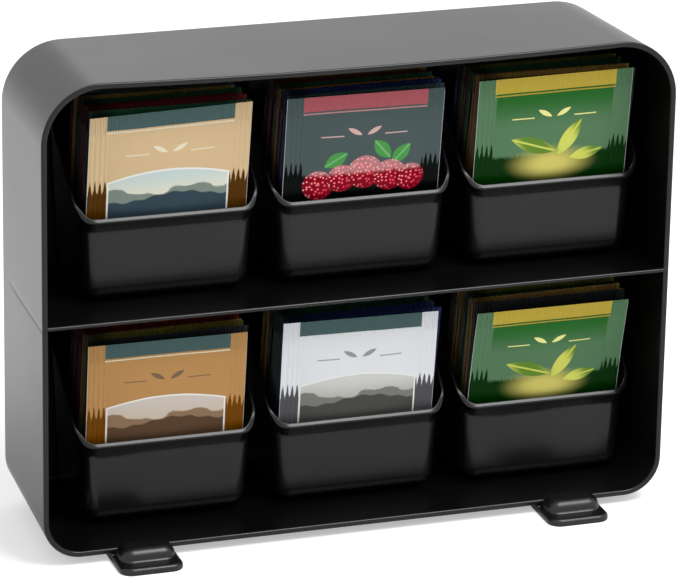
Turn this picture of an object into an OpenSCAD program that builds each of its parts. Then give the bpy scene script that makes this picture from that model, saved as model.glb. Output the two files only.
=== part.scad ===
// Six-drawer tea bag organizer: an open-fronted case with one shelf, two skid feet and six
// scoop-fronted drawers, each filled with a row of wrapped tea bags.
// Millimetres. +Z is up, the open front faces -Y. The origin is under the middle of the
// whole object, on the surface that the feet stand on.

/* [Case] */
// Width of the case across its front
case_w = 300; // [280:1:330]
// Height of the case without its feet
case_h = 223.3; // [215:0.1:250]
// Depth of the case from front rim to back
case_d = 82.7; // [80:0.1:110]
// Wall thickness of the case
case_wall = 2.7; // [2.2:0.1:4]
// Corner radius of the two upper corners at the front
case_top_r = 27.6; // [18:0.1:40]
// Corner radius of the two lower corners at the front
case_foot_r = 17.9; // [10:0.1:30]
// How much each side draws in from front to back
case_draft = 2.7; // [0:0.1:3.5]
// Height of the shelf's top face above the case's underside
shelf_top = 112; // [106:0.5:120]
// Thickness of the shelf
shelf_t = 2; // [1.5:0.1:3]

/* [Rails] */
// Distance between the two rails that carry a drawer
rail_pitch = 49; // [36:1:60]
// Width of one rail
rail_w = 3; // [2:0.5:5]
// Height of a rail above the shelf, and above the floor at its back end
rail_h = 1.2; // [0.8:0.1:2]
// Distance from the case's front to the front end of the rails
rail_inset = 30; // [24:1:40]

/* [Drawers] */
// Clearance between the lips of neighbouring drawers, above their low fronts
drawer_gap = 6.1; // [5:0.1:9]
// Clearance from the right drawers' lips to the case's side wall, above their low fronts
right_gap = 5.1; // [5:0.1:12]
// Clearance from the left drawers' lips to the case's side wall, above their low fronts
left_gap = 18.7; // [5:0.1:20]
// Clearance from the drawers' lips to the case's back wall, above their low fronts
back_gap = 2.5; // [2.5:0.1:10]
// Depth of a drawer over its lip
drawer_d = 58.5; // [54:0.5:59]
// Height of a drawer's low front
front_h = 40.5; // [32:0.5:46]
// Height of a drawer's back
back_h = 84; // [74:0.5:88]
// Angle at which the sides rise from the low front
rim_angle = 41; // [38:1:45]
// Wall thickness of a drawer
drawer_wall = 1.7; // [1.2:0.1:2.4]
// Depth of the lip below the sloping rim
lip_h = 4; // [2:0.5:6]
// How far the lip stands out from the walls
lip_out = 1.6; // [0.8:0.1:2]
// Corner radius of the drawer's upright edges
drawer_r = 8; // [5:0.5:14]
// Radius between the drawer's walls and its underside
drawer_foot_r = 7.5; // [6:0.5:7.5]
// How much the drawer's walls lean out for each unit of height
drawer_lean = 0.04; // [0:0.005:0.045]

/* [Wrapped tea bags] */
// Clearance from the sides of a wrapped tea bag to the drawer's side walls, above their rounding
bag_room = 0.98; // [0.5:0.02:6]
// Height of one wrapped tea bag
bag_h = 87; // [70:0.5:90]
// Thickness of one wrapped tea bag at its middle
bag_t = 2.9; // [1.5:0.1:4]
// Thickness of the crimped edges
crimp_t = 0.5; // [0.3:0.1:0.8]
// Width of the crimped edges at the sides
crimp_w = 9; // [5:0.5:14]
// Height of the crimped bands at top and bottom
band_h = 10; // [6:0.5:16]
// Number of wrapped tea bags behind the front one
bags_behind = 10; // [4:1:10]
// Space between two wrapped tea bags
bag_gap = 0.5; // [0.3:0.1:0.8]
// How far the wrapped tea bags lean towards the front
bag_lean = 11; // [4:0.5:12]
// Clearance from a wrapped tea bag's lower corners to the rounding of the drawer's foot
bag_clear = 0.35; // [0.3:0.05:0.5]
// Clearance from the front bag's bulging face to the drawer's front wall
face_clear = 0.9; // [0.9:0.05:1.2]
// How unevenly the bags of a row stand in height, at most
bag_lift = 0.8; // [0:0.1:1]

/* [Feet] */
// Distance from the case's side to the middle of a foot
foot_inset = 46.5; // [40:0.5:60]
// Width of a foot
foot_w = 30; // [24:1:40]
// Height that the feet lift the case
foot_h = 4; // [3:0.5:8]
// How far a foot reaches out in front of the case
foot_reach = 18.6; // [10:0.2:26]
// Distance from the foot's back end to the case's back
foot_back = 8; // [4:1:20]
// Corner radius of a foot in plan
foot_r = 6; // [3:0.5:9]
// Drop of the foot's open ledge below the case's underside
ledge_drop = 0.6; // [0.2:0.1:1.5]
// Width of the raised stop in front of the case
stop_w = 26; // [18:1:30]
// Depth of the raised stop
stop_d = 12; // [8:0.5:14]
// Clearance from the raised stop's top to the lower drawer that slides over it
stop_clear = 0.5; // [0.3:0.1:3]
// Rounding of the raised stop's front, sides and top
stop_r = 4.7; // [2:0.1:5.2]
// Diameter of the pegs that hold a foot in the case's floor
peg_d = 7; // [5:0.5:9]
// Clearance around a peg
peg_clear = 0.15; // [0.05:0.05:0.4]
// Distance from the case's front to the front pegs
peg_front = 30; // [24:1:34]
// Distance between the two pegs of a foot
peg_pitch = 36; // [24:1:38]

/* [Hidden] */

// Least height of a lower rail above the floor, at its back end
rail_land = 0.1;
// Depth of the hidden part of a rail, which joins it to the floor or shelf
rail_root = 1;
// How far a foot's peg ends below the inner floor
peg_recess = 0.3;
// How far the raised stop reaches into the ledge
stop_base = 0.5;
// Flat width at the back of the raised stop's top
stop_flat = 1;
// Angle that sets a bag's own lift apart from its neighbours'
lift_turn = 137;
// Points of the curve over a wrapped tea bag
bulge_steps = 10;

// Places along Y and Z that follow from the sizes above
front_y = -(case_d + foot_reach) / 2 + foot_reach;
case_z = foot_h;
slope = case_draft / case_d;
foot_pitch = case_w - 2 * foot_inset;
// Three drawers share the width that the clearances leave, and stand in front of the back wall
drawer_w = (case_w - 2 * case_wall - left_gap - right_gap - 2 * drawer_gap) / 3;
drawer_pitch = drawer_w + drawer_gap;
drawer_shift = (left_gap - right_gap) / 2;
drawer_inset = case_d - case_wall - back_gap - drawer_d;
lower_rail_z = case_z + case_wall + case_draft + rail_land;
upper_rail_z = case_z + shelf_top + rail_h;
drawer_y = front_y + drawer_inset;
stop_top = lower_rail_z - stop_clear;
stop_round = min(stop_r, stop_top - case_z + ledge_drop);
// Where the rising sides reach the height of the back
rim_run = (back_h - front_h) / tan(rim_angle);
peg_reach = case_z + case_wall + 2 * case_draft + rail_root;
cut = 400;
skin = 0.1;
over_back = back_h + skin;
seat_gap = 0.05;
// Facets of the hulled corners
corner_fn = 96;
hull_fn = 32;
peg_fn = 48;
// Steps in a quarter turn of a drawer's corner, and of its rounding underneath
corner_steps = 8;
fillet_steps = 4;

// Rounded outline in X and Z, seen from the front, drawn in by inset on every side
module case_outline(inset, draw_in) {
    w = case_w / 2 - inset - draw_in;
    r_top = case_top_r - inset;
    r_low = case_foot_r - inset;
    low = inset + draw_in;
    high = case_h - inset - draw_in;
    hull() {
        for (s = [-1, 1]) {
            translate([s * (w - r_top), high - r_top]) circle(r = r_top, $fn = corner_fn);
            translate([s * (w - r_low), low + r_low]) circle(r = r_low, $fn = corner_fn);
        }
    }
}

// The drafted block between two depths behind the front plane
module case_block(inset, from_y, to_y) {
    hull() {
        for (y = [from_y + skin, to_y])
            translate([0, front_y + y, case_z])
                rotate([90, 0, 0])
                    linear_extrude(height = skin)
                        case_outline(inset, slope * y);
    }
}

// Two rails under one drawer, level on top
module rails(x, low_z, top_z) {
    for (s = [-1, 1])
        translate([x + s * rail_pitch / 2 - rail_w / 2, front_y + rail_inset, low_z])
            cube([rail_w, case_d - rail_inset - case_wall / 2, top_z - low_z]);
}

function column_x(i) = (i - 1) * drawer_pitch + drawer_shift;

// The points where a foot's pegs stand, behind the front plane
peg_places = [peg_front, peg_front + peg_pitch];

module case_body() {
    color("#141416") {
        difference() {
            case_block(0, 0, case_d);
            difference() {
                case_block(case_wall, -skin, case_d - case_wall);
                translate([-case_w / 2, front_y - skin, case_z + shelf_top - shelf_t])
                    cube([case_w, case_d, shelf_t]);
            }
            for (s = [-1, 1])
                for (y = peg_places)
                    translate([s * foot_pitch / 2, front_y + y, 0])
                        cylinder(d = peg_d + 2 * peg_clear, h = peg_reach, $fn = peg_fn);
        }
        for (i = [0:2]) {
            rails(column_x(i), case_z + case_wall + slope * rail_inset - rail_root, lower_rail_z);
            rails(column_x(i), case_z + shelf_top - shelf_t / 2, upper_rail_z);
        }
    }
}

// Side outline of a foot in Y and Z: a ledge in front, then a top that follows the case
module foot_side() {
    back_y = case_d - foot_back;
    polygon([
        [-foot_reach, 0],
        [back_y, 0],
        [back_y, foot_h + slope * back_y - seat_gap],
        [0, foot_h - seat_gap],
        [-seat_gap, foot_h - ledge_drop],
        [-foot_reach, foot_h - ledge_drop]
    ]);
}

module rounded_plan(w, from_y, to_y, r) {
    hull()
        for (x = [-1, 1])
            for (y = [from_y + r, to_y - r])
                translate([x * (w / 2 - r), y]) circle(r = r, $fn = hull_fn);
}

// Side outline of the raised stop, rounded at its top front
module stop_side() {
    base = foot_h - ledge_drop - stop_base;
    hull() {
        translate([-stop_d, base]) square([stop_d - 2 * seat_gap, stop_base]);
        translate([-stop_d + stop_round + stop_flat, stop_top - stop_round])
            circle(r = stop_round, $fn = hull_fn);
        translate([-stop_flat, stop_top - stop_flat])
            square([stop_flat - 2 * seat_gap, stop_flat]);
    }
}

// Front outline of the raised stop, rounded at both sides of its top
module stop_front() {
    hull() {
        translate([-stop_w / 2, 0]) square([stop_w, foot_h - ledge_drop]);
        for (s = [-1, 1])
            translate([s * (stop_w / 2 - stop_round), stop_top - stop_round])
                circle(r = stop_round, $fn = hull_fn);
    }
}

module foot(side) {
    color("#1b1b1d")
        translate([side * foot_pitch / 2, front_y, 0]) {
            intersection() {
                rotate([90, 0, 90])
                    linear_extrude(height = foot_w, center = true) foot_side();
                linear_extrude(height = cut)
                    rounded_plan(foot_w, -foot_reach, case_d - foot_back, foot_r);
            }
            intersection() {
                rotate([90, 0, 90])
                    linear_extrude(height = stop_w, center = true) stop_side();
                rotate([90, 0, 0])
                    linear_extrude(height = stop_d + skin) stop_front();
                linear_extrude(height = cut)
                    rounded_plan(stop_w, -stop_d, stop_d, stop_round + stop_flat);
            }
            for (y = peg_places)
                translate([0, y, foot_h / 2])
                    cylinder(d = peg_d, h = foot_h / 2 + case_wall + slope * y - peg_recess, $fn = peg_fn);
        }
}

// The points of a drawer's rounded plan at height z, grown by grow, with corner radius r
function drawer_ring(z, grow, r) =
    let (
        lean = drawer_lean * (z - front_h),
        half = drawer_w / 2 - lip_out + lean + grow,
        near = lip_out - lean - grow,
        far = drawer_d - lip_out + lean + grow,
        centres = [[half - r, far - r], [r - half, far - r], [r - half, near + r], [half - r, near + r]]
    )
    [for (c = [0:3]) for (i = [0:corner_steps])
        let (angle = c * 90 + i * 90 / corner_steps)
        [centres[c][0] + r * cos(angle), centres[c][1] + r * sin(angle), z]];

// A closed solid through a stack of rings that all have the same number of points
module loft(rings) {
    n = len(rings[0]);
    last = len(rings) - 1;
    sides = [for (k = [0:last - 1]) for (i = [0:n - 1])
        let (a = k * n + i, b = k * n + (i + 1) % n)
        [a, a + n, b + n, b]];
    polyhedron(
        points = [for (ring = rings) for (p = ring) p],
        faces = concat(
            [[for (i = [0:n - 1]) i]],
            [for (f = sides) [f[0], f[1], f[2]]],
            [for (f = sides) [f[0], f[2], f[3]]],
            [[for (i = [n - 1:-1:0]) last * n + i]]
        ),
        convexity = 4
    );
}

// Everything under the sloping rim, lowered by drop
module under_rim(drop) {
    rotate([90, 0, 90])
        linear_extrude(height = 2 * drawer_w, center = true)
            polygon([
                [-cut, -skin],
                [cut, -skin],
                [cut, back_h - drop],
                [rim_run, back_h - drop],
                [0, front_h - drop],
                [-cut, front_h - drop]
            ]);
}

// The drawer's walls drawn in by inset, rounded where they meet the bottom, up to the height top
module drawer_walls(inset, top) {
    q = drawer_foot_r - inset;
    fillet = [for (i = [0:fillet_steps])
        let (angle = i * 90 / fillet_steps, draw_in = inset + q * (1 - sin(angle)))
        drawer_ring(inset + q * (1 - cos(angle)), -draw_in, drawer_r - draw_in)];
    loft(concat(fillet, [drawer_ring(top, -inset, drawer_r - inset)]));
}

// A drawer with its front lip at y = 0 and its underside at z = 0
module drawer() {
    difference() {
        union() {
            intersection() {
                drawer_walls(0, over_back);
                under_rim(0);
            }
            intersection() {
                loft([for (z = [0, over_back]) drawer_ring(z, lip_out, drawer_r + lip_out)]);
                difference() {
                    under_rim(0);
                    under_rim(lip_h);
                }
            }
        }
        drawer_walls(drawer_wall, over_back + skin);
    }
}

function row_z(row) = row == 1 ? upper_rail_z : lower_rail_z;

module place(column, row) {
    translate([column_x(column), drawer_y, row_z(row)]) children();
}

// Cross-section of a wrapped tea bag: two flat crimped sides and a bulging middle
function bulge(x, chord) = crimp_t / 2 + (bag_t - crimp_t) / 2 * (1 - pow(2 * x / chord, 2));

module bag_section() {
    chord = bag_w - 2 * crimp_w;
    last = bulge_steps;
    arc = [for (i = [0:last]) -chord / 2 + chord * i / last];
    polygon(concat(
        [for (i = [0:last]) [arc[i], bulge(arc[i], chord)]],
        [for (i = [last:-1:0]) [arc[i], -bulge(arc[i], chord)]]
    ));
}

// One wrapped tea bag standing on z = 0 with its front face at y = 0
module wrapped_bag() {
    translate([0, bag_t / 2, 0]) {
        translate([-bag_w / 2, -crimp_t / 2, 0]) cube([bag_w, crimp_t, bag_h]);
        translate([0, 0, band_h])
            linear_extrude(height = bag_h - 2 * band_h) bag_section();
    }
}

// Height at which a bag's lower corners rest in the rounding of the drawer's foot
inner_r = drawer_foot_r - drawer_wall;
inner_side = drawer_w / 2 - lip_out - drawer_lean * (front_h - drawer_foot_r) - drawer_wall;
bag_w = 2 * (inner_side - bag_room);
corner_run = max(0, bag_w / 2 + bag_clear - inner_side + inner_r);
bag_base = drawer_foot_r - sqrt(inner_r * inner_r - corner_run * corner_run);

// The place of the first bag: its front rests against the rim and its foot stands further back
first_y = lip_out + drawer_wall + face_clear + (front_h - bag_base) * tan(bag_lean);
bag_step = (bag_t + bag_gap) / cos(bag_lean);

// Bag number n of a row, counted from the front
module bag_at(n) {
    lift = n == 0 ? 0 : bag_lift * (1 + sin(n * lift_turn));
    translate([0, first_y + n * bag_step, bag_base])
        rotate([bag_lean, 0, 0])
            translate([0, 0, lift])
                wrapped_bag();
}

front_colours = ["#caa468", "#4d5f60", "#3f8f3a", "#c7914f", "#d5dade", "#3f8f3a"];
row_colours = ["#7a2a2e", "#1f3a63", "#b0762a", "#566b2c", "#2c3f5c", "#8a6f2e"];

module front_bag(column, row) {
    color(front_colours[column + (1 - row) * 3]) place(column, row) bag_at(0);
}

module bag_row(column, row) {
    color(row_colours[column + (1 - row) * 3])
        place(column, row)
            for (n = [1:bags_behind])
                bag_at(n);
}

module drawer_of(column, row) {
    color("#202022") place(column, row) drawer();
}

case_body();  // case
foot(-1);  // left_foot
foot(1);  // right_foot
drawer_of(0, 1);  // upper_left_drawer
drawer_of(1, 1);  // upper_middle_drawer
drawer_of(2, 1);  // upper_right_drawer
drawer_of(0, 0);  // lower_left_drawer
drawer_of(1, 0);  // lower_middle_drawer
drawer_of(2, 0);  // lower_right_drawer
front_bag(0, 1);  // upper_left_front_bag
front_bag(1, 1);  // upper_middle_front_bag
front_bag(2, 1);  // upper_right_front_bag
front_bag(0, 0);  // lower_left_front_bag
front_bag(1, 0);  // lower_middle_front_bag
front_bag(2, 0);  // lower_right_front_bag
bag_row(0, 1);  // upper_left_bag_row
bag_row(1, 1);  // upper_middle_bag_row
bag_row(2, 1);  // upper_right_bag_row
bag_row(0, 0);  // lower_left_bag_row
bag_row(1, 0);  // lower_middle_bag_row
bag_row(2, 0);  // lower_right_bag_row
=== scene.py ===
"""Looks of a tea bag organizer with six drawers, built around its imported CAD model.

Metres, in the CAD model's frame: +Z is up, the open front faces -Y and the feet stand on z = 0.
"""

import math
import random

import bpy
from bpy.props import FloatProperty, FloatVectorProperty, IntProperty, PointerProperty
from mathutils import Matrix, Vector, noise


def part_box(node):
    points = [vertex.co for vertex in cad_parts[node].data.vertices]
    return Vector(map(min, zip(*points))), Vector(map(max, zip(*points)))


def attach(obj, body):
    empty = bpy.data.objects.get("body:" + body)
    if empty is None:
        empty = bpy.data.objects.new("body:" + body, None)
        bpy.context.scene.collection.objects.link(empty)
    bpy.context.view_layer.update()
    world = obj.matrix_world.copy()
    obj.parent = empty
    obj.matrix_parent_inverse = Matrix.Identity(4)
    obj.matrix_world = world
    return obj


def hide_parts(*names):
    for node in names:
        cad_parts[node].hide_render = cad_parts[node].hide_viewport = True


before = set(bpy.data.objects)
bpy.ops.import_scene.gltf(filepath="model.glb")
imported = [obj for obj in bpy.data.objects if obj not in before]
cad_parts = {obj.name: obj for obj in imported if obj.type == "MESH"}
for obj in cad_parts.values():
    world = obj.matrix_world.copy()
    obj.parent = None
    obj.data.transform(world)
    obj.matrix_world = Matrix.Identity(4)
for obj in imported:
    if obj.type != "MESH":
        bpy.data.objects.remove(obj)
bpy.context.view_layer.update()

bl_info = {
    "name": "Tea bag organizer",
    "version": (1, 0, 0),
    "blender": (4, 5, 0),
    "location": "3D View > Sidebar > Organizer",
    "description": "Builds the looks of a tea bag organizer with six pull-out drawers",
    "category": "Add Mesh",
}

MM = 0.001
COLUMNS = ("left", "middle", "right")
ROWS = ("lower", "upper")
CASE_LOW, CASE_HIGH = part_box("case")
FOOT_LOW, FOOT_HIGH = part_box("right_foot")
DRAWER_LOW, DRAWER_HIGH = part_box("upper_middle_drawer")
LOWER_LOW, LOWER_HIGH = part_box("lower_middle_drawer")
RIGHT_LOW, RIGHT_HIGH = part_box("upper_right_drawer")


def length(name, description, millimetres):
    """A length property with its default in millimetres."""
    return FloatProperty(
        name=name, description=description, default=millimetres * MM, min=0, max=1,
        precision=5, subtype="DISTANCE", unit="LENGTH",
    )


def share(name, description, value, most=1.0):
    """A plain number property."""
    return FloatProperty(name=name, description=description, default=value, min=0, max=most)


def tone(name, description, value):
    """A colour property, in linear values."""
    return FloatVectorProperty(
        name=name, description=description, default=value, min=0, max=1, size=3, subtype="COLOR",
    )


class CaseSizes(bpy.types.PropertyGroup):
    """Sizes of the moulded case and its shelf."""

    wall: length("Wall", "Thickness of the case's walls", 2.7)
    top_radius: length("Top radius", "Corner radius of the upper corners at the front", 27.6)
    foot_radius: length("Foot radius", "Corner radius of the lower corners at the front", 17.9)
    draft: length("Draft", "How much each side draws in from front to back", 2.7)
    edge: length("Edge", "Rounding of the front rim's two edges", 0.9)
    back_edge: length("Back edge", "Rounding between the sides and the back", 2.4)
    sag: length("Sag", "How far the middle of the top sinks at the front", 2.0)
    shelf_top: length("Shelf top", "Height of the shelf above the case's underside", 112)
    shelf: length("Shelf", "Thickness of the shelf", 2)
    rail_pitch: length("Rail pitch", "Distance between the two rails under a drawer", 49)
    rail_width: length("Rail width", "Width of a rail", 3)
    rail_inset: length("Rail inset", "Distance from the case's front to the rails", 34)


class DrawerSizes(bpy.types.PropertyGroup):
    """Sizes of one drawer."""

    wall: length("Wall", "Thickness of the drawer's walls", 1.5)
    lip_height: length("Lip height", "Height over which the walls flare out below the rim", 9.9)
    lip_out: length("Lip", "How far the rim stands out from the walls", 2.6)
    edge: length("Edge", "Rounding of the rim's edges", 0.4)
    fall: length("Fall", "How much lower the rim's outer edge lies along the front", 1.4)
    front: length("Front height", "Height of the low front", 40.5)
    rim_angle: FloatProperty(
        name="Rim angle", description="Angle at which the sides rise", default=math.radians(41),
        min=0, max=1.2, subtype="ANGLE", unit="ROTATION",
    )
    rim_start: length("Rim start", "Depth over which the rim runs from level into its rise", 5)
    radius: length("Radius", "Corner radius of the upright edges", 7)
    foot_radius: length("Foot radius", "Radius between the walls and the underside", 7.5)
    inner_radius: length("Inner radius", "Radius between the walls and the floor inside", 3)
    lean: share("Lean", "How much the walls lean out for each unit of height", 0.04)


class FootSizes(bpy.types.PropertyGroup):
    """Sizes of one foot."""

    radius: length("Radius", "Corner radius of the foot in plan", 6)
    ledge: length("Ledge", "Height of the open ledge in front of the case", 3.4)
    edge: length("Edge", "Rounding of the ledge's upper edge", 2)
    stop_width: length("Stop width", "Width of the raised stop", 26)
    stop_depth: length("Stop depth", "Depth of the raised stop", 12)
    stop_top: length("Stop top", "Height of the raised stop", 9)
    stop_round: length("Stop rounding", "Rounding of the stop's front, sides and top", 4.7)
    stop_draft: length("Stop draft", "How far the stop's foot reaches out before its rounding", 1)


class BagSizes(bpy.types.PropertyGroup):
    """Sizes of one wrapped tea bag and of a row of them."""

    width: length("Width", "Width of one bag", 75)
    height: length("Height", "Height of one bag", 87)
    thickness: length("Thickness", "Thickness at the middle", 2.9)
    seam: length("Seam", "Thickness of the pressed edges", 0.5)
    side_seam: length("Side seam", "Width of the pressed edges at the sides", 9)
    end_seam: length("End seam", "Height of the pressed bands at top and bottom", 10)
    gap: length("Gap", "Space between two bags", 0.5)
    lift: length("Lift", "How unevenly the bags of a row stand", 0.8)
    lean: FloatProperty(
        name="Lean", description="How far the bags lean towards the front",
        default=math.radians(11), min=0, max=0.5, subtype="ANGLE", unit="ROTATION",
    )
    behind: IntProperty(name="Behind", description="Bags behind the front one", default=10, min=1, max=20)


class StudioSettings(bpy.types.PropertyGroup):
    """The camera and the soft light around the box."""

    lens: FloatProperty(
        name="Lens", description="Focal length of the camera", default=228.74, min=1,
        subtype="DISTANCE_CAMERA", unit="CAMERA",
    )
    distance: length("Distance", "From the camera to the middle of the box", 1993.66)
    azimuth: FloatProperty(
        name="Azimuth", description="How far the camera stands to the left of the front",
        default=math.radians(18.761), subtype="ANGLE", unit="ROTATION",
    )
    elevation: FloatProperty(
        name="Elevation", description="How far the camera looks down",
        default=math.radians(19.578), subtype="ANGLE", unit="ROTATION",
    )
    roll: FloatProperty(
        name="Roll", description="How far the camera is turned about its own line of sight",
        default=math.radians(0.995), subtype="ANGLE", unit="ROTATION",
    )
    key_power: FloatProperty(
        name="Key power", description="Power of the soft light overhead", default=16, min=0,
        unit="POWER",
    )
    back_power: FloatProperty(
        name="Back power", description="Power of the soft light behind the box", default=0.8, min=0,
        unit="POWER",
    )
    fill: share("Fill", "Strength of the even light from all round", 0.7, 4)
    floor_tone: tone("Floor", "Colour of the floor", (0.8, 0.8, 0.8))


class Term:
    """A shader socket that can stand in a Python expression."""

    def __init__(self, finish, socket):
        self.finish = finish
        self.socket = socket

    def math(self, operation, *others):
        """This value and the others through a Math node."""
        return self.finish.node("ShaderNodeMath", {"operation": operation}, dict(enumerate((self, *others))))

    def __add__(self, other):
        return self.math("ADD", other)

    def __sub__(self, other):
        return self.math("SUBTRACT", other)

    def __mul__(self, other):
        return self.math("MULTIPLY", other)

    def __truediv__(self, other):
        return self.math("DIVIDE", other)

    def __abs__(self):
        return self.math("ABSOLUTE")

    def __rsub__(self, other):
        return self.finish.node("ShaderNodeMath", {"operation": "SUBTRACT"}, {0: other, 1: self})

    __radd__ = __add__
    __rmul__ = __mul__

    def below(self, other):
        """1 where this value is under the other."""
        return self.math("LESS_THAN", other)

    def above(self, other):
        """1 where this value is over the other."""
        return self.math("GREATER_THAN", other)

    def smooth(self, low, high):
        """0 under low and 1 over high, with a soft step between them."""
        return self.finish.node(
            "ShaderNodeMapRange", {"interpolation_type": "SMOOTHSTEP"},
            {"Value": self, "From Min": low, "From Max": high},
        )

    def wave(self, length):
        """A sine of this value that repeats after the given length."""
        return (self * (2 * math.pi / length)).math("SINE")


class Finish:
    """The node tree of one material or of the world."""

    def __init__(self, owner):
        owner.use_nodes = True
        self.owner = owner
        self.tree = owner.node_tree
        self.tree.nodes.clear()

    def node(self, kind, settings=None, sockets=None, output=0):
        """Makes a node: first its settings, then the values and links of its sockets."""
        made = self.tree.nodes.new(kind)
        for key, value in (settings or {}).items():
            setattr(made, key, value)
        for key, value in (sockets or {}).items():
            if isinstance(value, Term):
                self.tree.links.new(value.socket, made.inputs[key])
            elif getattr(made.inputs[key], "type", "") == "RGBA" and len(value) == 3:
                made.inputs[key].default_value = (*value, 1)
            else:
                made.inputs[key].default_value = value
        return Term(self, made.outputs[output]) if len(made.outputs) else None

    def mix(self, factor, first, second):
        """A colour between two colours."""
        return self.node("ShaderNodeMix", {"data_type": "RGBA"}, {0: factor, 6: first, 7: second}, 2)

    def place(self):
        """The point on the surface in the object's own frame."""
        return self.node("ShaderNodeTexCoord", output=3)

    def grain(self, scale, detail=2.0, vector=None):
        """A value from 0 to 1 that varies over the surface."""
        sockets = {"Scale": scale, "Detail": detail, "Vector": vector or self.place()}
        return self.node("ShaderNodeTexNoise", None, sockets)

    def bump(self, height, distance, strength=1.0):
        """A normal from a height."""
        return self.node("ShaderNodeBump", None, {"Height": height, "Distance": distance, "Strength": strength})

    def split(self, vector):
        """The three parts of a vector."""
        first = self.node("ShaderNodeSeparateXYZ", None, {0: vector})
        outputs = first.socket.node.outputs
        return [Term(self, outputs[i]) for i in range(3)]

    def surface(self, sockets):
        """Ends the tree in one main shader with these sockets."""
        shader = self.node("ShaderNodeBsdfPrincipled", None, sockets)
        self.node("ShaderNodeOutputMaterial", None, {0: shader})
        return self.owner


def new_finish(name):
    return Finish(bpy.data.materials.new(name))


def black_plastic(name, base, roughness, index, grain_depth=0.00003):
    """Satin black moulded plastic: fine grain, uneven gloss and a soft sheen on its skin."""
    finish = new_finish(name)
    blotches = finish.grain(14, 3)
    grain = finish.grain(1600, 3)
    flow = finish.grain(55, 2)
    tint = finish.mix(blotches.smooth(0.35, 0.7), tuple(c * 0.8 for c in base), tuple(c * 1.3 for c in base))
    gloss = roughness + (blotches - 0.5) * 0.1 + (grain - 0.5) * 0.06
    relief = finish.bump(grain * 0.5 + flow * 0.5, grain_depth)
    return finish.surface({
        "Base Color": tint, "Roughness": gloss, "Normal": relief, "IOR": index,
    })


def case_plastic():
    """The case's plastic, with the faint line that the shelf leaves on the outer walls."""
    finish = new_finish("case_plastic")
    sizes = bpy.context.scene.case_sizes
    across, back, up = finish.split(finish.place())
    blotches = finish.grain(11, 3)
    grain = finish.grain(1500, 3)
    shelf_z = CASE_LOW.z + sizes.shelf_top - sizes.shelf / 2
    outside = abs(across).smooth(0.1475, 0.1485)
    line = (1 - abs(up - shelf_z).smooth(0.0005, 0.0022)) * outside
    tint = finish.mix(blotches.smooth(0.35, 0.7), (0.0017, 0.0017, 0.0018), (0.0026, 0.0026, 0.0027))
    gloss = 0.3 + (blotches - 0.5) * 0.1 + (grain - 0.5) * 0.06
    relief = finish.bump(grain * 0.03 - line, 0.0004)
    return finish.surface({"Base Color": tint, "Roughness": gloss, "Normal": relief, "IOR": 1.43})


def wrapper(name, light, deep, band, mark, motif, rule):
    """A printed foil wrapper: pressed seams, a coloured band, a small sprig and a picture below.

    Above a ragged line its colours are painted lighter, a painted sheen for the foil's reflection; below it, in the
    shade of the drawer's front, they are painted deeper as painted shade.
    """
    finish = new_finish(name)
    sizes = bpy.context.scene.bag_sizes
    width, height = sizes.width / MM, sizes.height / MM
    u, v, unused = finish.split(finish.node("ShaderNodeUVMap", {"uv_map": "print"}))
    back = u.above(1)
    across = (u - back - 0.5) * width
    up = v * height
    side = abs(across).smooth(27.8, 28.8)
    rib = across.wave(2.3)
    ragged = finish.grain(0.9, 3, finish.node("ShaderNodeCombineXYZ", None, {0: across, 1: up * 0.25}))
    # painted sheen and shade: light colours above this ragged line, deep colours below it
    edge = 47.5 + side * 3.5 + rib * side * 2.6 + (ragged - 0.5) * (3 + side * 4)
    depth = 1 - (up - edge).smooth(-1.4, 1)
    colour = finish.mix(depth, light, deep)
    colour = motif(finish, colour, across, up, depth)
    sprig = leaf(across, up, 4.6, 68.4, 8, 2.4, 28) + leaf(across, up, -4.6, 68.4, 8, 2.4, 152)
    stroke = (1 - abs(up - 66.4).smooth(0.15, 0.4)) * abs(across).smooth(9.5, 10) * (1 - abs(across).smooth(20, 21))
    colour = finish.mix((sprig + stroke).math("MINIMUM", 1), colour, mark)
    inside = 1 - abs(across).smooth(29.3, 29.6)
    colour = finish.mix(up.smooth(79.4, 79.7) * inside, colour, band)
    colour = finish.mix((1 - abs(up - 78.4).smooth(0.25, 0.45)) * inside, colour, rule)
    colour = finish.mix(back, colour, light)
    # pale trimmed edges, painted dimmer on the left side as painted shade
    cut = abs(across).smooth(37.1, 37.4) * (0.45 + across.smooth(-1, 1) * 0.55)
    colour = finish.mix(cut * (1 - back), colour, (0.8, 0.81, 0.82))
    pressed = up.smooth(77, 78.5)
    ridges = across.wave(1.2) * pressed * 0.5 + rib * side * 0.2 + (ragged - 0.5) * side * 0.5
    relief = finish.bump(ridges + (finish.grain(120, 2) - 0.5) * 0.8, 0.00022)
    gloss = 0.26 + finish.grain(60, 2) * 0.12
    return finish.surface({
        "Base Color": colour, "Roughness": gloss, "Normal": relief, "Specular IOR Level": 0.05,
    })


def leaf(across, up, x, y, long, wide, degrees):
    """1 inside a pointed leaf round the point (x, y), in millimetres, turned by an angle."""
    turn = math.radians(degrees)
    along = ((across - x) * math.cos(turn) + (up - y) * math.sin(turn)) / long + 0.5
    off = abs((up - y) * math.cos(turn) - (across - x) * math.sin(turn)) / wide
    return (along * (1 - along) * 4 - off * 2).smooth(0, 0.12)


def vein(across, up, x, y, long, wide, degrees):
    """1 on the middle line of the same leaf."""
    turn = math.radians(degrees)
    along = ((across - x) * math.cos(turn) + (up - y) * math.sin(turn)) / long + 0.5
    off = abs((up - y) * math.cos(turn) - (across - x) * math.sin(turn)) / wide
    return (1 - off.smooth(0.02, 0.09)) * (along * (1 - along)).smooth(0, 0.1)


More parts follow.
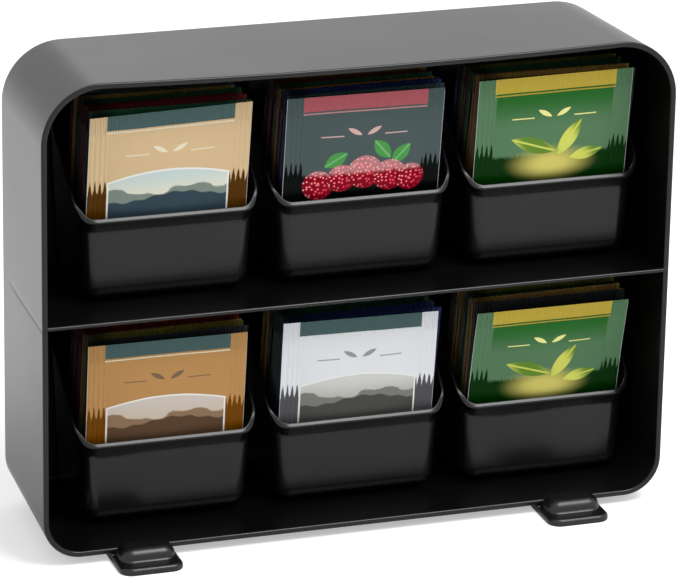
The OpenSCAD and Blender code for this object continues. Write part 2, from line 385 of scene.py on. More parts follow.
def hills(sky_top, sky_low, far, near):
    """A print of a hazy hill country in a window with an arched top."""
    def motif(finish, colour, across, up, depth):
        window = (57.5 - across * across * 0.006 - up).smooth(0, 0.4) * (1 - abs(across).smooth(27.4, 27.8))
        frame_line = (58.3 - across * across * 0.006 - up).smooth(0, 0.3) * (1 - abs(across).smooth(28.2, 28.5))
        sky = finish.mix(up.smooth(44, 56), sky_low, sky_top)
        mist = finish.grain(0.09, 4, finish.node("ShaderNodeCombineXYZ", None, {0: across, 1: up * 2}))
        back_ridge = 47.5 + across.wave(38) * 1.6 + across.wave(13) * 0.7 + (mist - 0.5) * 5
        front_ridge = 44.2 + (across + 9).wave(52) * 1.8 + across.wave(9) * 0.4
        picture = finish.mix(1 - (up - back_ridge).smooth(-0.4, 0.6), sky, far)
        picture = finish.mix(1 - (up - front_ridge).smooth(-0.3, 0.5), picture, near)
        return finish.mix(window, finish.mix(frame_line, colour, (0.82, 0.82, 0.78)), picture)
    return motif


def berries(skin, shade, glint, leaf_tone):
    """A print of round berries and one leaf along the lower edge."""
    places = [(-21, 42, 7.5), (-10, 45, 7), (1, 47.5, 8.5), (13, 45, 8), (23, 43, 7)]
    leaves = [(-13, 54.5, 13, 7, 32), (9, 58.5, 13, 7, 130), (18, 55.5, 13, 7, 48)]

    def motif(finish, colour, across, up, depth):
        for sprout in leaves:
            colour = finish.mix(leaf(across, up, *sprout), colour, leaf_tone)
            colour = finish.mix(vein(across, up, *sprout) * 0.5, colour, (0.3, 0.6, 0.3))
        for x, y, radius in places:
            far_x, far_y = across - x, up - y
            distance = (far_x * far_x + far_y * far_y).math("SQRT")
            bead = finish.node("ShaderNodeTexVoronoi", {"voronoi_dimensions": "2D"}, {
                "Vector": finish.node("ShaderNodeCombineXYZ", None, {0: across + x, 1: up - x}),
                "Scale": 0.5, "Randomness": 0.75,
            })
            ball = finish.mix(bead.smooth(0.2, 0.55), skin, shade)
            ball = finish.mix(distance.smooth(radius * 0.5, radius) * 0.8, ball, shade)
            # painted sheen: the berries turn paler above the wrapper's sheen line
            ball = finish.mix((1 - depth) * 0.35, ball, glint)
            lit = (far_y - far_x).smooth(-radius * 1.5, radius) * (1 - bead.smooth(0.1, 0.24))
            ball = finish.mix(lit, ball, glint)
            colour = finish.mix(1 - distance.smooth(radius - 0.3, radius), colour, ball)
        return colour
    return motif


def tea_leaves(glow, leaf_light, leaf_dark, shade):
    """A print of young tea leaves over a soft glow."""
    stems = [(-9, 52.5, 24, 8, 162), (8, 55, 22, 7.5, 58), (17, 46.5, 17, 6.5, 12)]

    def motif(finish, colour, across, up, depth):
        inside = 1 - abs(across).smooth(28, 29)
        upper = finish.mix(up.smooth(60, 77) * inside, colour, shade)
        spread = (across * across * 0.0022 + (up - 43) * (up - 43) * 0.012).math("SQRT")
        colour = finish.mix((1 - spread.smooth(0.2, 1.15)) * inside, upper, glow)
        for stem in stems:
            tip = finish.mix((across + up * 0.6).wave(31).smooth(-0.8, 0.9), leaf_dark, leaf_light)
            colour = finish.mix(leaf(across, up, *stem), colour, tip)
            colour = finish.mix(vein(across, up, *stem), colour, leaf_light)
        return colour
    return motif


def row_wrappers():
    """Foil wrappers of the bags behind, each in its own colour, with painted shade: the colours are set darker than
    the foils, and darker still towards the left edge.
    """
    finish = new_finish("row_wrappers")
    sizes = bpy.context.scene.bag_sizes
    u, v, unused = finish.split(finish.node("ShaderNodeUVMap", {"uv_map": "print"}))
    tint = finish.node("ShaderNodeAttribute", {"attribute_name": "tint"})
    across = (u - u.above(1) - 0.5) * (sizes.width / MM)
    up = v * (sizes.height / MM)
    pressed = up.smooth(77, 78.5)
    side = abs(across).smooth(27.8, 28.8)
    dull = finish.mix(finish.grain(90, 3).smooth(0.3, 0.7) * 0.25, tint, (0.01, 0.01, 0.01))
    # painted shade: darker towards the left edge, where the case shades the rows
    shade = across.smooth(-20, -34) * 0.75
    colour = finish.mix(shade, dull, (0.004, 0.004, 0.004))
    ridges = across.wave(1.2) * pressed + across.wave(2.3) * side
    relief = finish.bump(ridges + finish.grain(110, 2), 0.00022)
    return finish.surface({
        "Base Color": colour, "Roughness": 0.3 + finish.grain(60, 2) * 0.1, "Normal": relief,
        "Specular IOR Level": 0.15,
    })


def rounded_outline(right, low, high, low_radius, high_radius, steps, spans):
    """Points round an outline with rounded corners, from its lower right corner."""
    corners = (
        (right - low_radius, low + low_radius, low_radius, -90),
        (right - high_radius, high - high_radius, high_radius, 0),
        (high_radius - right, high - high_radius, high_radius, 90),
        (low_radius - right, low + low_radius, low_radius, 180),
    )
    arcs = []
    for x, y, radius, start in corners:
        turns = [math.radians(start + 90 * i / steps) for i in range(steps + 1)]
        arcs.append([Vector((x + radius * math.cos(t), y + radius * math.sin(t))) for t in turns])
    points = []
    for here, following in zip(arcs, arcs[1:] + arcs[:1]):
        points += here
        points += [here[-1].lerp(following[0], i / spans) for i in range(1, spans)]
    return points


def quarter(steps):
    """Sine and cosine of the angles through a quarter turn."""
    turns = [math.pi / 2 * i / steps for i in range(steps + 1)]
    return [(math.sin(t), math.cos(t)) for t in turns]


def skinned(name, stacks, material, body, slot, replaces=()):
    """A piece made of closed skins, each through its own stack of rings."""
    points, faces = [], []
    for stack in stacks:
        count = len(stack[0])
        base = len(points)
        for ring in stack:
            points += [tuple(p) for p in ring]
        faces.append(tuple(base + i for i in reversed(range(count))))
        for level in range(len(stack) - 1):
            start = base + level * count
            for i in range(count):
                j = (i + 1) % count
                faces.append((start + i, start + j, start + count + j, start + count + i))
        faces.append(tuple(base + (len(stack) - 1) * count + i for i in range(count)))
    return piece(name, points, faces, material, body, slot, replaces)


def piece(name, points, faces, material, body, slot, replaces=(), turn=True):
    """A mesh object that rides on a body, with soft shading between its sharp edges."""
    mesh = bpy.data.meshes.new(name)
    mesh.from_pydata(points, [], faces)
    mesh.materials.append(material)
    made = bpy.data.objects.new(name, mesh)
    bpy.context.scene.collection.objects.link(made)
    if turn:
        outward(mesh)
    mesh.polygons.foreach_set("use_smooth", [True] * len(mesh.polygons))
    mesh.set_sharp_from_angle(angle=math.radians(38))
    weighted = made.modifiers.new("even_normals", "WEIGHTED_NORMAL")
    weighted.keep_sharp = True
    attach(made, body)
    if replaces:
        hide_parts(*replaces)
    return made


def outward(mesh):
    """Turns the faces of each closed skin outward."""
    import bmesh
    made = bmesh.new()
    made.from_mesh(mesh)
    bmesh.ops.recalc_face_normals(made, faces=made.faces)
    made.to_mesh(mesh)
    made.free()


def case_ring(sizes, inset, depth):
    """A ring round the case, inset from its outside, at a depth behind the front plane."""
    deep = CASE_HIGH.y - CASE_LOW.y
    draw_in = sizes.draft * depth / deep
    half = (CASE_HIGH.x - CASE_LOW.x) / 2 - draw_in - inset
    outline = rounded_outline(
        half, CASE_LOW.z + draw_in + inset, CASE_HIGH.z - draw_in - inset,
        max(sizes.foot_radius - inset, MM), max(sizes.top_radius - inset, MM), 14, 12,
    )
    flat = half - max(sizes.top_radius - inset, MM)
    middle = (CASE_LOW.z + CASE_HIGH.z) / 2
    ring = []
    for x, z in outline:
        if z > middle and abs(x) < flat:
            z -= sizes.sag * (1 - (x / flat) ** 2) * (1 - depth / deep)
        ring.append(Vector((x, CASE_LOW.y + depth, z)))
    return ring


def case_shell(sizes):
    """The drafted walls and the back of the case, with rounded edges."""
    deep = CASE_HIGH.y - CASE_LOW.y
    inner = deep - sizes.wall
    edge, back, fillet = sizes.edge, sizes.back_edge, 2.5 * MM
    levels = [(back - back * s, deep - back + back * c) for s, c in quarter(5)]
    levels += [(0, deep * f) for f in (0.75, 0.5, 0.25, 0.06)]
    levels += [(edge - edge * c, edge - edge * s) for s, c in quarter(5)]
    levels += [(sizes.wall - edge + edge * s, edge - edge * c) for s, c in quarter(5)]
    levels += [(sizes.wall, inner * f) for f in (0.06, 0.25, 0.5, 0.75)]
    levels += [(sizes.wall + fillet - fillet * c, inner - fillet + fillet * s) for s, c in quarter(4)]
    return [case_ring(sizes, inset, depth) for inset, depth in levels]


def shelf_slab(sizes):
    """The shelf with its rounded front edge, let a little into the walls at both ends."""
    deep = CASE_HIGH.y - CASE_LOW.y
    top = CASE_LOW.z + sizes.shelf_top
    round_off = sizes.shelf / 2
    section = [(deep - sizes.wall / 2, 0), (deep / 2, 0), (deep / 8, 0)]
    for i in range(9):
        turn = math.pi * i / 8
        section.append((round_off - round_off * math.sin(turn), round_off - round_off * math.cos(turn)))
    section += [(deep / 8, sizes.shelf), (deep / 2, sizes.shelf), (deep - sizes.wall / 2, sizes.shelf)]
    half = (CASE_HIGH.x - CASE_LOW.x) / 2 - sizes.wall / 2
    slope = sizes.draft / deep
    return [
        [Vector(((half - slope * k) * s, CASE_LOW.y + k, top - sizes.shelf + z)) for k, z in section]
        for s in (-1 + 2 * i / 24 for i in range(25))
    ]


def rail(sizes, x, low, rise, top):
    """One rail under a drawer, with rounded upper edges; its foot rises a little towards the back."""
    slope = rise / (CASE_HIGH.y - CASE_LOW.y)
    half = sizes.rail_width / 2
    back = CASE_HIGH.y - sizes.wall / 2
    front = CASE_LOW.y + sizes.rail_inset
    rings = []
    for along, shrink in ((0, 0.3), (0.25 * MM, 0), (back - front, 0)):
        wide = half - half * 0.6 * shrink
        high = top - half * 0.5 * shrink
        edge = min(half * 0.3, wide)
        foot = low + slope * (sizes.rail_inset + along)
        section = [
            (-wide, foot), (wide, foot), (wide, high - edge), (wide - edge * 0.3, high - edge * 0.3),
            (wide - edge, high), (edge - wide, high), (edge * 0.3 - wide, high - edge * 0.3), (-wide, high - edge),
        ]
        rings.append([Vector((x + px, front + along, pz)) for px, pz in section])
    return rings


def column_x(column):
    """The middle of a column of drawers."""
    low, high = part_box(f"upper_{column}_drawer")
    return (low.x + high.x) / 2


def drawer_low(row):
    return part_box(f"{row}_middle_drawer")[0]


def make_case(sizes):
    stacks = [case_shell(sizes), shelf_slab(sizes)]
    for row in ROWS:
        top = drawer_low(row).z
        floor, rise = (sizes.shelf_top, 0) if row == "upper" else (sizes.wall, sizes.draft)
        for column in COLUMNS:
            for side in (-1, 1):
                x = column_x(column) + side * sizes.rail_pitch / 2
                stacks.append(rail(sizes, x, CASE_LOW.z + floor - MM, rise, top))
    return skinned("case_shell", stacks, case_plastic(), "case", "case_plastic", ("case",))


class DrawerPlan:
    """Places on one drawer, from its front lip at y = 0 and its underside at z = 0."""

    STEPS = 10
    SPANS = 10

    def __init__(self, sizes):
        self.sizes = sizes
        self.lip_half = (DRAWER_HIGH.x - DRAWER_LOW.x) / 2
        self.tall = DRAWER_HIGH.z - DRAWER_LOW.z
        self.spread = sizes.lean * (self.tall - sizes.front)
        self.deep = DRAWER_HIGH.y - DRAWER_LOW.y - self.spread

    def rim(self, y):
        """Height of the rim: a low front, rising sides that run softly into a level back."""
        start = min(max(y / self.sizes.rim_start, 0), 1)
        rise = max(y, 0) * math.tan(self.sizes.rim_angle) * start * start * (3 - 2 * start)
        most = self.tall - self.sizes.front
        soft = 3 * MM
        part = min(max(0.5 + 0.5 * (most - rise) / soft, 0), 1)
        return self.sizes.front + most + (rise - most) * part - soft * part * (1 - part)

    def fall(self, y, grow):
        """How much lower the rim is made towards its outer edge, along the front only."""
        sizes = self.sizes
        outward = min(max((grow - sizes.lip_out + sizes.wall) / sizes.wall, 0), 1)
        return sizes.fall * outward * min(max(1 - y / sizes.radius, 0), 1)

    def outline(self, height, grow):
        """The drawer's plan at a height, grown by an amount."""
        sizes = self.sizes
        lean = sizes.lean * (height - sizes.front)
        half = self.lip_half - self.spread - sizes.lip_out + lean + grow
        near = sizes.lip_out - lean - grow
        far = self.deep - sizes.lip_out + lean + grow
        radius = max(sizes.radius + grow, 0.2 * MM)
        return rounded_outline(half, near, far, radius, radius, self.STEPS, self.SPANS)

    def ring(self, grow, offset, portion):
        """A ring at the height offset + portion * rim, which follows the sloping rim."""
        rough = self.outline(self.sizes.front, grow)
        points = []
        for i, start in enumerate(rough):
            height = offset + portion * self.rim(start.y)
            if portion:
                height = offset + portion * self.rim(self.outline(height, grow)[i].y)
                height -= self.fall(start.y, grow) * portion
            x, y = self.outline(height, grow)[i]
            points.append(Vector((x, y, height)))
        return points

    def rings(self):
        """The whole tub: underside, outer walls, flared lip, rim, inner walls and floor."""
        sizes = self.sizes
        foot, wall, edge, lip = sizes.foot_radius, sizes.wall, sizes.edge, sizes.lip_out
        inner, floor = sizes.inner_radius, sizes.inner_radius + wall
        levels = [(foot * s - foot, foot - foot * c, 0) for s, c in quarter(6)]
        for f in (0.33, 0.66, 1.0):
            levels.append((0, foot * (1 - f) - (sizes.lip_height + edge) * f, f))
        flare = [(0, 1), (0.06, 0.86), (0.16, 0.735), (0.5, 0.445), (0.95, 0.065), (1, edge / sizes.lip_height)]
        levels += [(lip * out, -sizes.lip_height * down, 1) for out, down in flare]
        levels += [(lip - edge + edge * c, edge * s - edge, 1) for s, c in quarter(4)[1:]]
        levels += [(lip - wall + edge - edge * s, edge * c - edge, 1) for s, c in quarter(4)[:-1]]
        levels += [(lip * out - wall, -sizes.lip_height * down, 1) for out, down in reversed(flare)]
        for f in (0.66, 0.33):
            levels.append((-wall, floor * (1 - f) - sizes.lip_height * f, f))
        levels += [(inner * c - inner - wall, floor - inner * s, 0) for s, c in quarter(6)]
        return [self.ring(*level) for level in levels]


def make_drawers(sizes):
    material = black_plastic("drawer_plastic", (0.0022, 0.0022, 0.0026), 0.26, 1.42)
    rings = DrawerPlan(sizes).rings()
    made = []
    for row in ROWS:
        for column in COLUMNS:
            start = Vector((column_x(column), drawer_front(), drawer_low(row).z))
            stack = [[p + start for p in ring] for ring in rings]
            node = f"{row}_{column}_drawer"
            body = f"{row}_{column}"
            made.append(skinned(f"{node}_tub", [stack], material, body, "drawer_plastic", (node,)))
    return made


def drawer_front():
    """The front face of the drawers' lips, at the height of the low front."""
    return DRAWER_LOW.y


def make_feet(sizes):
    material = black_plastic("foot_plastic", (0.0024, 0.0024, 0.0028), 0.34, 1.5)
    made = []
    for side in ("left", "right"):
        low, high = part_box(f"{side}_foot")
        middle = (low.x + high.x) / 2
        half = (high.x - low.x) / 2
        front = CASE_LOW.y

        def plate(near, far, near_radius, far_radius, top):
            """A plate with rounded edges, with a top that may slope."""
            edge = sizes.edge
            levels = [(0.3 * MM, 0, 0), (0, 0.3 * MM, 0)]
            levels += [(edge - edge * c, edge * s - edge, 1) for s, c in quarter(4)]
            rings = []
            for inset, offset, portion in levels:
                outline = rounded_outline(
                    half - inset, near + inset, far - inset, max(near_radius - inset, 0.1 * MM),
                    max(far_radius - inset, 0.1 * MM), 8, 3,
                )
                rings.append([Vector((middle + x, y, offset + portion * top(y))) for x, y in outline])
            return rings

        slope = (high.z - CASE_LOW.z) and bpy.context.scene.case_sizes.draft / (CASE_HIGH.y - CASE_LOW.y)
        under = CASE_LOW.z - 0.05 * MM
        ledge = plate(low.y, front + MM, sizes.radius, 0.3 * MM, lambda y: sizes.ledge)
        rear = plate(front, high.y, 0.3 * MM, sizes.radius, lambda y: under + slope * (y - front))
        stop = []
        curve, draft = sizes.stop_round, sizes.stop_draft
        levels = [(0, 0, sizes.ledge - 0.5 * MM), (0, 0, sizes.ledge), (0, draft * 0.5, sizes.ledge + 0.3 * MM)]
        levels += [(curve - curve * c, draft, sizes.stop_top - curve + curve * s) for s, c in quarter(10)]
        for inset, back, height in levels:
            outline = rounded_outline(
                sizes.stop_width / 2 - inset, front - sizes.stop_depth + inset + back, front - 0.1 * MM,
                curve + draft - inset * 0.8, 0.3 * MM, 8, 4,
            )
            stop.append([Vector((middle + x, y, height)) for x, y in outline])
        made.append(skinned(
            f"{side}_foot_block", [ledge, rear, stop], material, "case", "foot_plastic", (f"{side}_foot",),
        ))
    return made


class BagShape:
    """The shape of one wrapped tea bag: two printed sheets, pressed together round their edges."""

    def __init__(self, sizes, columns, rows, seed, pleats=1.0):
        self.sizes = sizes
        self.seed = seed
        self.pleats = pleats
        half = sizes.width / 2
        chord = half - sizes.side_seam
        side = max(columns // 4, 2)
        middle = max(columns - 2 * side, 2)
        self.across = [-half + sizes.side_seam * i / side for i in range(side)]
        self.across += [-chord + 2 * chord * i / middle for i in range(middle + 1)]
        self.across += [chord + sizes.side_seam * (i + 1) / side for i in range(side)]
        self.up = [sizes.height * j / rows for j in range(rows + 1)]

    def swell(self, x, z):
        """Half the thickness at a place on the bag."""
        sizes = self.sizes
        chord = sizes.width / 2 - sizes.side_seam
        fullness = max(1 - (x / chord) ** 2, 0) ** 0.75
        ramp = 16 * MM
        near = min(max((z - sizes.end_seam) / ramp, 0), 1)
        far = min(max((sizes.height - sizes.end_seam - z) / ramp, 0), 1)
        ends = math.sin(math.pi / 2 * min(near, far))
        return sizes.seam / 2 + (sizes.thickness - sizes.seam) / 2 * fullness * ends

    def crease(self, x, z):
        """How far the front sheet stands out or in, by its pleats and soft creases."""
        sizes = self.sizes
        chord = sizes.width / 2 - sizes.side_seam
        pleat = math.sin((abs(x) - chord) / (2.3 * MM) * 2 * math.pi) if abs(x) > chord else 0
        soft = noise.noise(Vector((x / (15 * MM), z / (21 * MM), self.seed * 3.7)))
        rim = min((sizes.width / 2 - abs(x)) / (2 * MM), (sizes.height - z) / (3 * MM), z / (3 * MM), 1)
        return (0.07 * MM * pleat * self.pleats + 0.32 * MM * soft) * rim

    def sheet(self, place, points, faces, uvs):
        """Adds the bag's two sheets to the lists, with a place for each point."""
        sizes = self.sizes
        middle = sizes.thickness / 2
        wide, tall = len(self.across), len(self.up)
        base = len(points)
        for z in self.up:
            for x in self.across:
                points.append(place(x, middle - self.swell(x, z) - self.crease(x, z), z))
        back = {}
        for j, z in enumerate(self.up):
            for i, x in enumerate(self.across):
                if 0 < i < wide - 1 and 0 < j < tall - 1:
                    back[i, j] = len(points)
                    points.append(place(x, middle + self.swell(x, z) - self.crease(x, z) * 0.5, z))
        for j in range(tall - 1):
            for i in range(wide - 1):
                corners = ((i, j), (i + 1, j), (i + 1, j + 1), (i, j + 1))
                faces.append(tuple(base + b * wide + a for a, b in corners))
                uvs += [self.uv(a, b, 0) for a, b in corners]
                turned = tuple(reversed(corners))
                faces.append(tuple(back.get((a, b), base + b * wide + a) for a, b in turned))
                uvs += [self.uv(a, b, 1.001) for a, b in turned]

    def uv(self, i, j, shift):
        return (self.across[i] / self.sizes.width + 0.5) * 0.998 + shift, self.up[j] / self.sizes.height


def bag_place(sizes, row, column, number, pose):
    """A function that puts a point of bag number, counted from the front, where it stands."""
    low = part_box(f"{row}_{column}_front_bag")[0]
    face = (sizes.thickness - sizes.seam) / 2
    step = (sizes.thickness + sizes.gap) / math.cos(sizes.lean)
    start = Vector((
        column_x(column),
        low.y + sizes.height * math.sin(sizes.lean) - face * math.cos(sizes.lean) + number * step,
        low.z - face * math.sin(sizes.lean),
    ))
    turn = Matrix.Rotation(sizes.lean, 3, "X")
    shift, rise, tilt, bend = pose

    def place(x, y, z):
        part = z / sizes.height
        upper = max(part - 0.45, 0) / 0.55
        point = Vector((x + shift * part, y - bend * upper ** 1.6, z + (rise + x * tilt) * part))
        return tuple(start + turn @ point)
    return place


def bag_object(name, points, faces, uvs, material, body, slot, node):
    made = piece(name, points, faces, material, body, slot, (node,), turn=False)
    layer = made.data.uv_layers.new(name="print")
    layer.data.foreach_set("uv", [value for uv in uvs for value in uv])
    return made


FRONT_POSES = {
    "upper_left": (-0.8, 0.1, 0.03, 0.0),
    "upper_middle": (-1.8, 0.5, -0.006, 0.0),
    "upper_right": (-2.6, 2.2, 0.012, 0.0),
    "lower_left": (-2.0, -0.5, -0.004, 0.0),
    "lower_middle": (-2.3, 1.1, -0.016, 0.0),
    "lower_right": (-1.2, -1.4, 0.0, 3.0),
}


def front_wrappers():
    """The printed wrapper and the record's slot of each front bag."""
    cream, grey = (0.78, 0.7, 0.52), (0.3, 0.31, 0.32)
    teal = (0.07, 0.125, 0.123)
    green = dict(
        light=(0.094, 0.196, 0.1), deep=(0.001, 0.026, 0.001), band=(0.53, 0.395, 0.055), mark=(0.8, 0.78, 0.3),
        rule=(0.45, 0.33, 0.05),
        motif=tea_leaves((0.62, 0.55, 0.14), (0.62, 0.66, 0.12), (0.12, 0.24, 0.03), (0.02, 0.13, 0.02)),
    )
    gold = wrapper(
        "gold_wrapper", (0.65, 0.472, 0.27), (0.078, 0.028, 0.001), teal, cream,
        hills((0.55, 0.64, 0.62), (0.72, 0.72, 0.58), (0.2, 0.25, 0.22), (0.035, 0.06, 0.08)), cream,
    )
    slate = wrapper(
        "slate_wrapper", (0.069, 0.0965, 0.0965), (0.0005, 0.002, 0.0015), (0.415, 0.1, 0.12), (0.62, 0.4, 0.38),
        berries((0.55, 0.004, 0.03), (0.2, 0.001, 0.01), (0.95, 0.55, 0.55), (0.07, 0.3, 0.07)),
        (0.5, 0.25, 0.25),
    )
    leafy = wrapper("green_wrapper", **green)
    amber = wrapper(
        "amber_wrapper", (0.489, 0.264, 0.095), (0.157, 0.052, 0.001), teal, (0.2, 0.13, 0.08),
        hills((0.62, 0.55, 0.5), (0.6, 0.5, 0.4), (0.27, 0.17, 0.1), (0.1, 0.055, 0.03)), cream,
    )
    silver = wrapper(
        "silver_wrapper", (0.75, 0.765, 0.8), (0.085, 0.082, 0.093), teal, grey,
        hills((0.62, 0.63, 0.62), (0.45, 0.46, 0.42), (0.2, 0.2, 0.18), (0.07, 0.07, 0.065)), (0.8, 0.8, 0.8),
    )
    return {
        "upper_left": (gold, "gold_wrapper"), "upper_middle": (slate, "slate_wrapper"),
        "upper_right": (leafy, "green_wrapper"), "lower_left": (amber, "amber_wrapper"),
        "lower_middle": (silver, "silver_wrapper"), "lower_right": (leafy, "green_wrapper"),
    }


def make_front_bags(sizes):
    made = []
    for seed, (body, (material, slot)) in enumerate(front_wrappers().items()):
        row, column = body.split("_")
        shift, rise, tilt, bend = FRONT_POSES[body]
        place = bag_place(sizes, row, column, 0, (shift * MM, rise * MM, tilt, bend * MM))
        points, faces, uvs = [], [], []
        BagShape(sizes, 72, 58, seed + 1).sheet(place, points, faces, uvs)
        node = f"{body}_front_bag"
        made.append(bag_object(f"{node}_wrapper", points, faces, uvs, material, body, slot, node))
    return made


# wrapper colours of the rows, set darker than the foils as painted shade inside the case
ROW_SHADED_TINTS = {
    "red": (0.13, 0.012, 0.016), "navy": (0.012, 0.025, 0.1), "green": (0.012, 0.07, 0.03),
    "olive": (0.17, 0.15, 0.025), "gold": (0.4, 0.25, 0.06), "black": (0.012, 0.014, 0.016),
    "orange": (0.38, 0.15, 0.03), "teal": (0.03, 0.06, 0.065), "pale": (0.5, 0.5, 0.46),
}
ROW_ORDERS = {
    "upper_left": "green black red red red green black gold teal red",
    "upper_middle": "teal navy navy navy orange green red red olive black",
    "upper_right": "black orange gold orange green green red olive black navy",
    "lower_left": "black olive olive gold red red red red teal black",
    "lower_middle": "navy navy navy green green green black gold gold gold",
    "lower_right": "black gold gold green green olive gold gold teal red",
}


def make_bag_rows(sizes):
    material = row_wrappers()
    chance = random.Random(41)
    made = []
    for body, order in ROW_ORDERS.items():
        row, column = body.split("_")
        points, faces, uvs, tints = [], [], [], []
        tones = order.split()
        for number in range(1, sizes.behind + 1):
            lift = sizes.lift * (1 + math.sin(math.radians(number * 137)))
            shift = chance.uniform(-1.0, 0.6) * MM
            place = bag_place(sizes, row, column, number, (shift, lift, chance.uniform(-0.01, 0.01), 0))
            before = len(points)
            BagShape(sizes, 28, 20, number + 9, 0.6).sheet(place, points, faces, uvs)
            tone_here = ROW_SHADED_TINTS[tones[(number - 1) % len(tones)]]
            tints += [tone_here] * (len(points) - before)
        node = f"{body}_bag_row"
        row_piece = bag_object(f"{node}_wrappers", points, faces, uvs, material, body, "row_wrappers", node)
        layer = row_piece.data.color_attributes.new("tint", "FLOAT_COLOR", "POINT")
        layer.data.foreach_set("color", [value for t in tints for value in (*t, 1)])
        made.append(row_piece)
    return made


def make_camera(settings):
    """The camera at the photograph's viewing angle."""
    around, down = settings.azimuth, settings.elevation
    ahead = Vector((
        math.sin(around) * math.cos(down), math.cos(around) * math.cos(down), -math.sin(down),
    ))
    right = ahead.cross(Vector((0, 0, 1))).normalized()
    above = right.cross(ahead)
    turned_right = right * math.cos(settings.roll) + above * math.sin(settings.roll)
    turned_up = above * math.cos(settings.roll) - right * math.sin(settings.roll)
    middle = Vector((0, (CASE_LOW.y + CASE_HIGH.y) / 2, (CASE_LOW.z + CASE_HIGH.z) / 2))
    eye = middle - ahead * settings.distance + turned_right * 2.39 * MM - turned_up * 9.212 * MM
    data = bpy.data.cameras.new("camera")
    data.sensor_width = 36
    data.lens = settings.lens
    data.clip_end = 50
    camera = bpy.data.objects.new("camera", data)
    turn = Matrix((turned_right, turned_up, -ahead)).transposed().to_4x4()
    camera.matrix_world = Matrix.Translation(eye) @ turn
    bpy.context.scene.collection.objects.link(camera)
    bpy.context.scene.camera = camera


def ray_kinds(finish):
    """Rays from the camera, in gloss and through glass, which show the background itself."""
    path = finish.node("ShaderNodeLightPath")
    outputs = path.socket.node.outputs
    return [Term(finish, outputs[name]) for name in ("Is Camera Ray", "Is Glossy Ray", "Is Transmission Ray")]


def make_floor(settings):
    """A wide pale floor that keeps the shadow of the box and glows with painted light, most in gloss towards the
    back.
    """
    reach = 6.0
    mesh = bpy.data.meshes.new("floor")
    mesh.from_pydata([(-reach, -reach, 0), (reach, -reach, 0), (reach, reach, 0), (-reach, reach, 0)], [], [(0, 1, 2, 3)])
    floor = bpy.data.objects.new("floor", mesh)
    bpy.context.scene.collection.objects.link(floor)
    finish = new_finish("floor_paper")
    across, back, unused = finish.split(finish.place())
    seen, gloss, through = ray_kinds(finish)
    # painted light: the floor glows, evenly for camera and transmission rays, and in gloss more at the back than
    # the front
    level = seen * 0.42 + through * 0.42 + gloss * (0.12 + back.smooth(-0.1, 0.3) * 0.5)
    glow = finish.node("ShaderNodeCombineXYZ", None, {0: level, 1: level, 2: level})
    mesh.materials.append(finish.surface({
        "Base Color": tuple(settings.floor_tone), "Roughness": 0.9, "Emission Color": glow,
        "Emission Strength": 1.0, "Specular IOR Level": 0.0,
    }))


def make_light(name, place, aim, size, power):
    """A square soft light."""
    data = bpy.data.lights.new(name, "AREA")
    data.shape = "SQUARE"
    data.size = size
    data.energy = power
    lamp = bpy.data.objects.new(name, data)
    lamp.location = place
    lamp.rotation_euler = (Vector(aim) - Vector(place)).to_track_quat("-Z", "Y").to_euler()
    bpy.context.scene.collection.objects.link(lamp)


def make_world(settings):
    """Even white light all round, which shows as plain white."""
    world = bpy.data.worlds.new("studio")
    finish = Finish(world)
    fill = finish.node("ShaderNodeBackground", None, {"Strength": settings.fill, "Color": (1, 1, 1)})
    white = finish.node("ShaderNodeBackground", None, {"Strength": 1.0, "Color": (1, 1, 1)})
    seen, gloss, through = ray_kinds(finish)
    shown = (seen + gloss + through).math("MINIMUM", 1)
    mixed = finish.node("ShaderNodeMixShader", None, {0: shown, 1: fill, 2: white})
    finish.node("ShaderNodeOutputWorld", None, {0: mixed})
    bpy.context.scene.world = world


def make_studio(settings):
    bpy.context.scene.view_settings.view_transform = "Standard"
    make_camera(settings)
    make_floor(settings)
    make_light("key_light", (0.42, -0.62, 1.29), (0, 0, 0.12), 0.7, settings.key_power)
    make_light("back_light", (0.5, 1.4, 0.85), (0, 0, 0.2), 0.9, settings.back_power)
    make_world(settings)


class ORGANIZER_OT_case(bpy.types.Operator):
    """Build the moulded case with its shelf and rails"""

    bl_idname = "organizer.make_case"
    bl_label = "Case"

    def execute(self, context):
        make_case(context.scene.case_sizes)
        return {"FINISHED"}


class ORGANIZER_OT_feet(bpy.types.Operator):
    """Build the two feet"""

    bl_idname = "organizer.make_feet"
    bl_label = "Feet"

    def execute(self, context):
        make_feet(context.scene.foot_sizes)
        return {"FINISHED"}


class ORGANIZER_OT_drawers(bpy.types.Operator):
    """Build the six drawers"""

    bl_idname = "organizer.make_drawers"
    bl_label = "Drawers"

    def execute(self, context):
        make_drawers(context.scene.drawer_sizes)
        return {"FINISHED"}


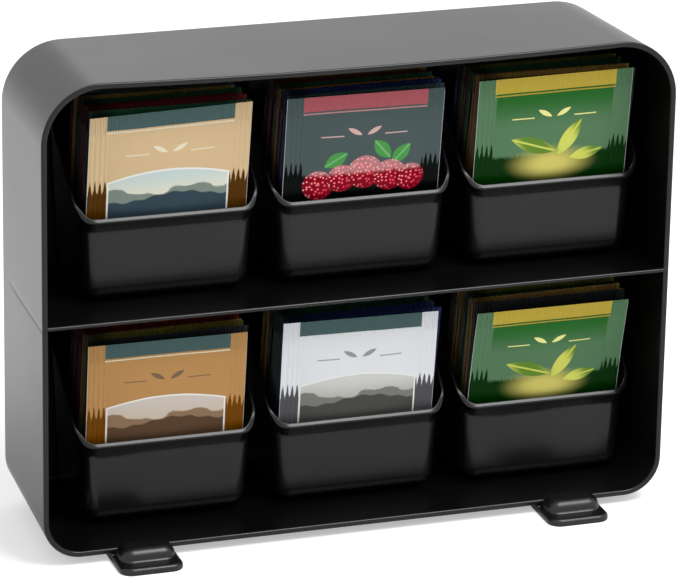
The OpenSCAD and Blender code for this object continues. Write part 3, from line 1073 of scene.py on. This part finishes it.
class ORGANIZER_OT_front_bags(bpy.types.Operator):
    """Build the front wrapped tea bag of each drawer"""

    bl_idname = "organizer.make_front_bags"
    bl_label = "Front bags"

    def execute(self, context):
        make_front_bags(context.scene.bag_sizes)
        return {"FINISHED"}


class ORGANIZER_OT_bag_rows(bpy.types.Operator):
    """Build the rows of wrapped tea bags behind the front ones"""

    bl_idname = "organizer.make_bag_rows"
    bl_label = "Bag rows"

    def execute(self, context):
        make_bag_rows(context.scene.bag_sizes)
        return {"FINISHED"}


class ORGANIZER_OT_studio(bpy.types.Operator):
    """Build the camera, the floor and the soft light"""

    bl_idname = "organizer.make_studio"
    bl_label = "Studio"

    def execute(self, context):
        make_studio(context.scene.studio_settings)
        return {"FINISHED"}


OPERATORS = (
    ORGANIZER_OT_studio, ORGANIZER_OT_case, ORGANIZER_OT_feet, ORGANIZER_OT_drawers,
    ORGANIZER_OT_front_bags, ORGANIZER_OT_bag_rows,
)
GROUPS = {
    "case_sizes": CaseSizes, "drawer_sizes": DrawerSizes, "foot_sizes": FootSizes,
    "bag_sizes": BagSizes, "studio_settings": StudioSettings,
}


class ORGANIZER_PT_panel(bpy.types.Panel):
    """Lists the pieces of the organizer and their sizes"""

    bl_idname = "ORGANIZER_PT_panel"
    bl_label = "Tea bag organizer"
    bl_space_type = "VIEW_3D"
    bl_region_type = "UI"
    bl_category = "Organizer"

    def draw(self, context):
        for operator in OPERATORS:
            self.layout.operator(operator.bl_idname)
        for name, group in GROUPS.items():
            box = self.layout.box()
            for field in group.__annotations__:
                box.prop(getattr(context.scene, name), field)


def register():
    for item in (*GROUPS.values(), *OPERATORS, ORGANIZER_PT_panel):
        bpy.utils.register_class(item)
    for name, group in GROUPS.items():
        setattr(bpy.types.Scene, name, PointerProperty(type=group))


def unregister():
    for name in GROUPS:
        delattr(bpy.types.Scene, name)
    for item in (ORGANIZER_PT_panel, *reversed(OPERATORS), *GROUPS.values()):
        bpy.utils.unregister_class(item)


def main():
    register()
    for operator in OPERATORS:
        family, name = operator.bl_idname.split(".")
        getattr(getattr(bpy.ops, family), name)()


if __name__ == "__main__":
    main()
